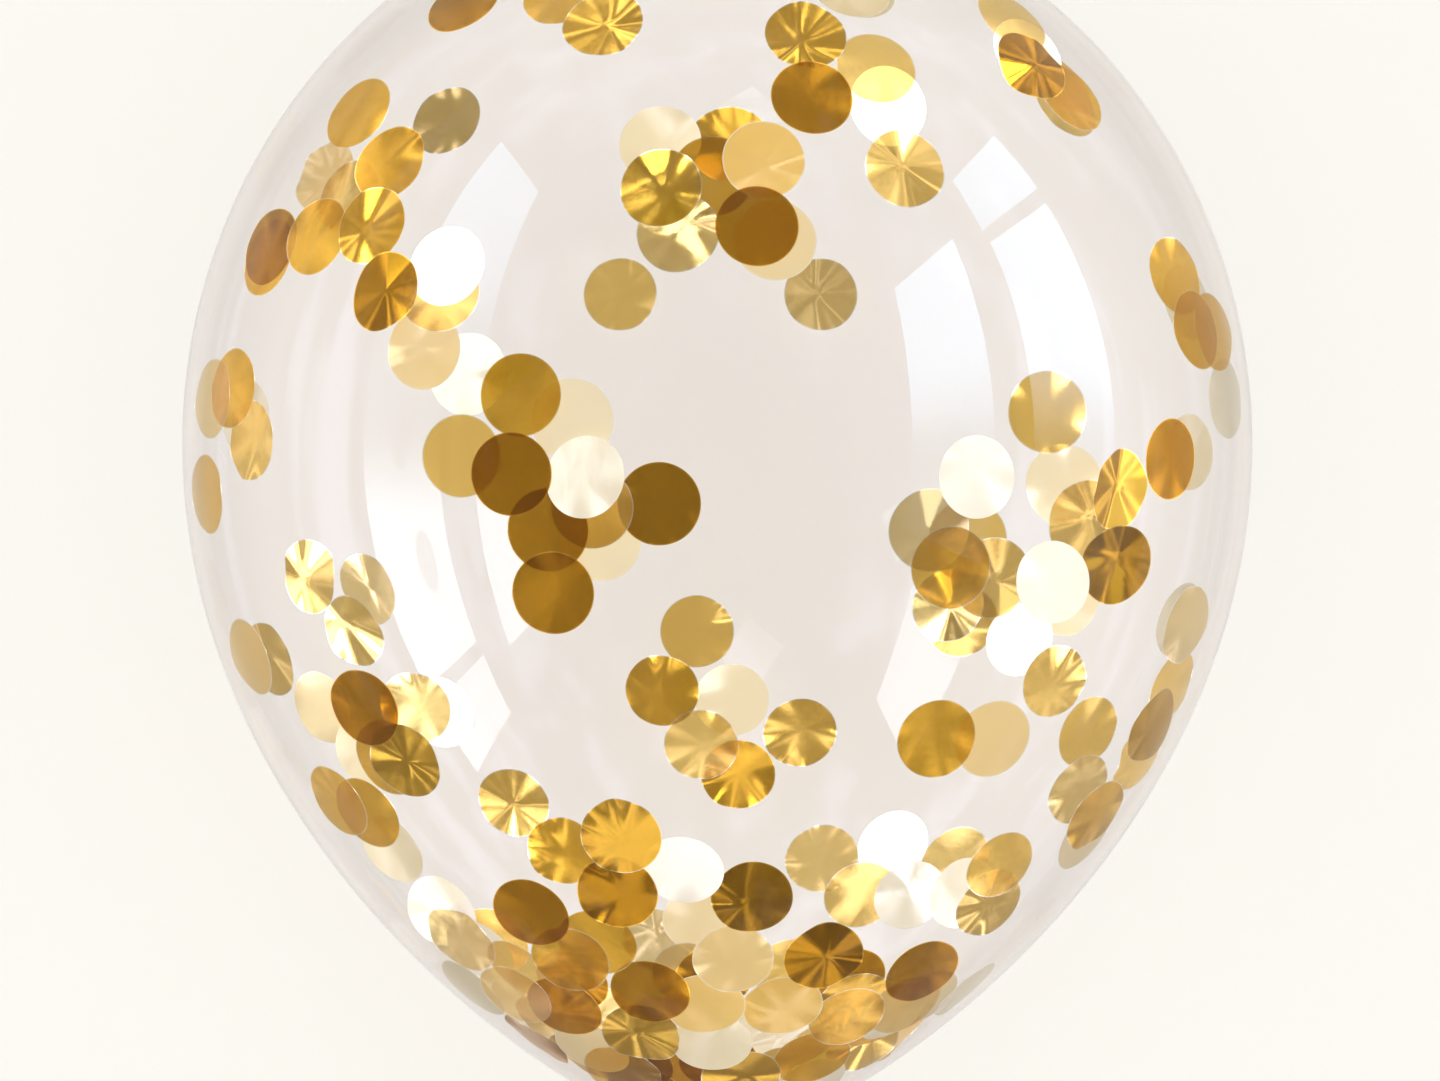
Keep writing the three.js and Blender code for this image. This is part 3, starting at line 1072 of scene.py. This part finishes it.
def glow_material(name, skin_colour):
    """Light that only shows in a first mirror: in this colour on the skin, in another on what is inside."""
    material = bpy.data.materials.new(name)
    material.use_nodes = True
    tree = material.node_tree
    tree.nodes.clear()
    path = tree.nodes.new("ShaderNodeLightPath")
    first_mirror = tree.nodes.new("ShaderNodeMath")
    first_mirror.operation = "COMPARE"
    first_mirror.inputs[1].default_value = 1
    first_mirror.inputs[2].default_value = 0.5
    tree.links.new(path.outputs["Glossy Depth"], first_mirror.inputs[0])
    light = tree.nodes.new("ShaderNodeEmission")
    colour = mixed_colour(tree, inside_share(tree, path), skin_colour, INSIDE_GLOW)
    tree.links.new(colour, light.inputs["Color"])
    tree.links.new(attribute_value(tree, "glow"), light.inputs["Strength"])
    clear = tree.nodes.new("ShaderNodeBsdfTransparent")
    share = first_mirror.outputs["Value"]
    shown = mixed_shader(tree, share, clear.outputs["BSDF"], light.outputs["Emission"])
    output = tree.nodes.new("ShaderNodeOutputMaterial")
    tree.links.new(shown, output.inputs["Surface"])
    material.cycles.emission_sampling = "NONE"
    return material


def make_windows():
    """The cards as pieces of the studio, seen only in mirrors."""
    window_glow = glow_material("window_glow", SKIN_GLOW)
    softbox_glow = glow_material("softbox_glow", NO_GLOW)
    for name, card in CARDS.items():
        vertices, glow = [], []
        for i in range(CARD_STEPS + 1):
            place = 2 * i / CARD_STEPS - 1
            for side in (-1, 1):
                vertices.append(card.middle + card.along * place + card.up * side)
                glow.append(card.glow(place))
        faces = [(2 * i, 2 * i + 1, 2 * i + 3, 2 * i + 2) for i in range(CARD_STEPS)]
        piece = new_object(name, vertices, faces, window_glow if name in WINDOWS else softbox_glow)
        add_attribute(piece, "glow", glow)
        piece.visible_camera = False
        piece.visible_diffuse = False
        piece.visible_shadow = False


def room_level(tree, along, up, inside):
    """How bright the mirrored room is."""
    greys = [(place, (level, level, level, 1)) for place, level in ROOM_LEVELS]
    level = ramp_colour(tree, remapped(tree, up, before=(-1, 1)), greys)
    level = product(tree, level, remapped(tree, along, NECK_SIDE, (1, NECK_SIDE_LEVEL)))
    return product(tree, level, remapped(tree, inside, after=(1, INSIDE_LEVEL)))


def room_colour(tree, place, up, inside):
    """Colour of the mirrored room, with its streaks."""
    stretch = tree.nodes.new("ShaderNodeMapping")
    stretch.inputs["Scale"].default_value = STREAK_STRETCH
    tree.links.new(place, stretch.inputs["Vector"])
    clouds = tree.nodes.new("ShaderNodeTexNoise")
    clouds.inputs["Scale"].default_value = 1.0
    clouds.inputs["Detail"].default_value = STREAK_DETAIL
    tree.links.new(stretch.outputs["Vector"], clouds.inputs["Vector"])
    streaks = remapped(tree, clouds.outputs["Fac"], STREAK_NOISE, smooth=True)
    overhead = remapped(tree, up, OVERHEAD, (1, OVERHEAD_STREAKS))
    streaks = product(tree, streaks, product(tree, remapped(tree, up, STREAK_RISE), overhead))
    streaks = product(tree, streaks, remapped(tree, inside, after=(SKIN_STREAKS, 1)))
    return mixed_colour(tree, streaks, STREAK_DIM, STREAK_BRIGHT)


def make_world():
    """An even pale studio. In mirrors it is a room with soft streaks of light, dimmer overhead."""
    world = bpy.data.worlds.new("studio")
    world.use_nodes = True
    tree = world.node_tree
    path = tree.nodes.new("ShaderNodeLightPath")
    inside = inside_share(tree, path)
    place = tree.nodes.new("ShaderNodeTexCoord").outputs["Generated"]
    split = tree.nodes.new("ShaderNodeSeparateXYZ")
    tree.links.new(place, split.inputs["Vector"])
    along, up = split.outputs["Y"], split.outputs["Z"]
    room = tree.nodes.new("ShaderNodeBackground")
    tree.links.new(room_colour(tree, place, up, inside), room.inputs["Color"])
    tree.links.new(room_level(tree, along, up, inside), room.inputs["Strength"])
    studio = tree.nodes["Background"]
    studio.inputs["Color"].default_value = STUDIO_COLOUR
    sky = remapped(tree, path.outputs["Diffuse Depth"], after=(1, SKY_SHARE))
    tree.links.new(sky, studio.inputs["Strength"])
    mirrored = path.outputs["Glossy Depth"]
    shown = mixed_shader(tree, mirrored, studio.outputs["Background"], room.outputs["Background"])
    tree.links.new(shown, tree.nodes["World Output"].inputs["Surface"])
    world.cycles.sampling_method = "NONE"
    bpy.context.scene.world = world
    bpy.context.scene.view_settings.view_transform = "Standard"


make_camera()
make_skin(latex_skin_material())
make_knot(latex_knot_material())
make_confetti()
make_floor()
make_lamp()
make_windows()
make_world()
